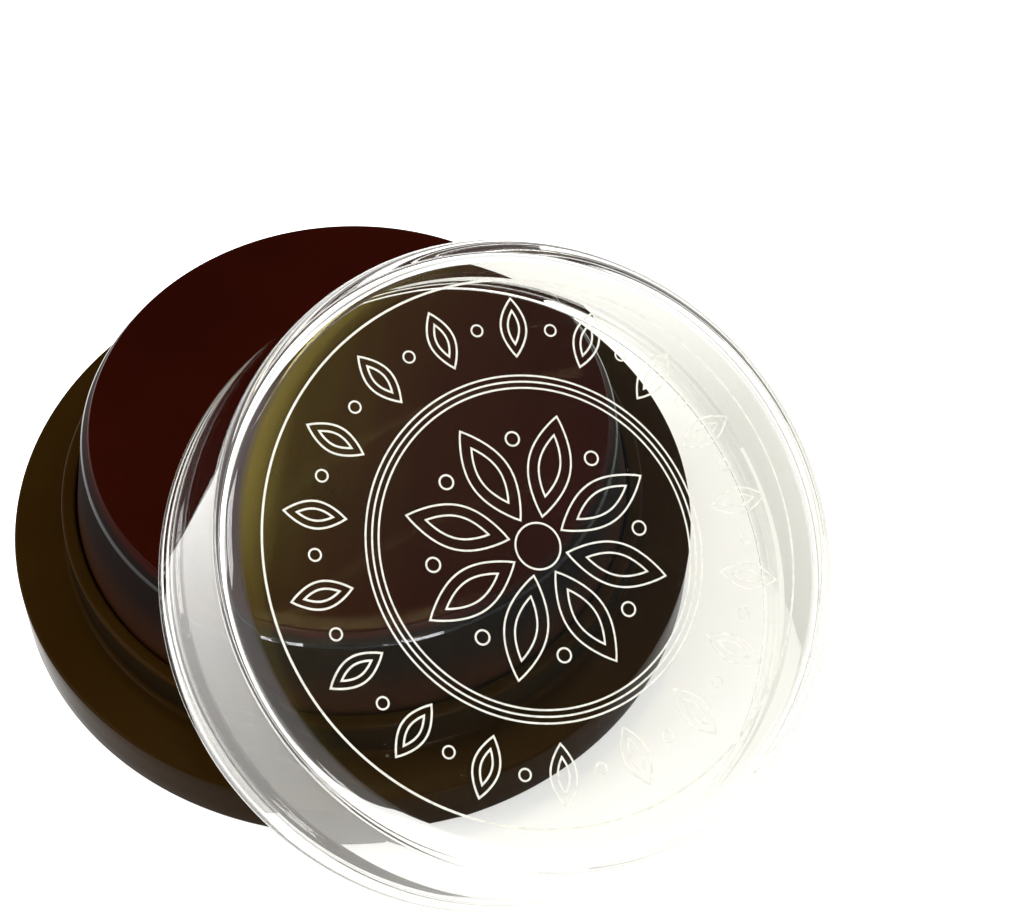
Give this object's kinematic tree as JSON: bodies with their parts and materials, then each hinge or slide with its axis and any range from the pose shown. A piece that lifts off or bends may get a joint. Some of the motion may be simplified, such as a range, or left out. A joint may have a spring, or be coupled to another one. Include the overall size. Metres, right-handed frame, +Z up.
{
  "type": "rosin cake",
  "caption": "Round cake of dark bow rosin in a stepped dark base, with a deep clear cup lid that lifts off and is shown leaning on the cake.",
  "frame": {"origin": "centre of the underside of the base, on the table", "axes": "+Z up along the axis of the base and the cake, +X to the right and +Y away from the front; the lid leans towards +X and -Y"},
  "size_m": [0.0761, 0.0775, 0.0409],
  "materials": {
    "base_plastic": "polished very dark brown-black moulding",
    "rosin": "glassy dark maroon cast rosin, gloss plastic stands in for it",
    "clear_acrylic": "clear water-white acrylic, polished, engraved rings"
  },
  "bodies": {
    "base": {"holder_base": "base_plastic", "rosin_cake": "rosin"},
    "lid": {"lid_shell": "clear_acrylic"}
  },
  "joints": [
    {"name": "lid_lift", "type": "slide", "parent": "base", "child": "lid", "axis": [0.3087, -0.3392, 0.8886], "range_m": [0, 0.05]}
  ]
}
